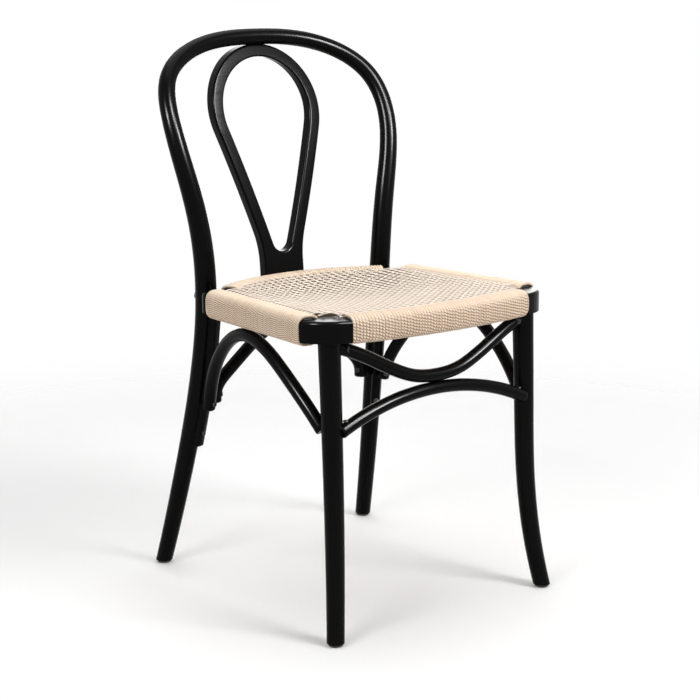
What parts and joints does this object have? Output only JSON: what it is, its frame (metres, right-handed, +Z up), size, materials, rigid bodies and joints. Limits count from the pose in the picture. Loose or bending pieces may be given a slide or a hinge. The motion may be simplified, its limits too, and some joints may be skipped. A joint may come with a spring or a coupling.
{
  "type": "bentwood dining chair",
  "caption": "Black bentwood dining chair: bent hoop back with a teardrop inner loop, curved under-seat braces, splayed legs and a woven paper-cord seat.",
  "frame": {"origin": "on the floor, midway between the left and right and the front and back limits", "axes": "+Z up, the chair faces -Y, +X to the right as seen from the front"},
  "size_m": [0.447, 0.5017, 0.8388],
  "materials": {
    "black_lacquer": "black satin lacquer on bent hardwood",
    "rail_wood": "plain sanded hardwood, hidden by the cord",
    "paper_cord": "natural twisted paper cord",
    "black_screws": "blackened steel",
    "glide_plastic": "black moulded plastic"
  },
  "bodies": {
    "root": {"back_hoop": "black_lacquer", "back_loop": "black_lacquer", "front_right_leg": "black_lacquer", "front_left_leg": "black_lacquer", "front_right_block": "black_lacquer", "front_left_block": "black_lacquer", "rear_right_block": "black_lacquer", "rear_left_block": "black_lacquer", "front_upper_brace": "black_lacquer", "front_lower_brace": "black_lacquer", "right_side_brace": "black_lacquer", "left_side_brace": "black_lacquer", "rear_brace": "black_lacquer", "right_leg_batten": "black_lacquer", "left_leg_batten": "black_lacquer", "seat_front_rail": "rail_wood", "seat_rear_rail": "rail_wood", "seat_right_rail": "rail_wood", "seat_left_rail": "rail_wood", "front_cord_wrap": "paper_cord", "rear_cord_wrap": "paper_cord", "right_cord_wrap": "paper_cord", "left_cord_wrap": "paper_cord", "seat_weave": "paper_cord", "brace_screws": "black_screws", "seat_bolts": "black_screws", "loop_screws": "black_screws", "foot_glides": "glide_plastic"}
  },
  "joints": []
}
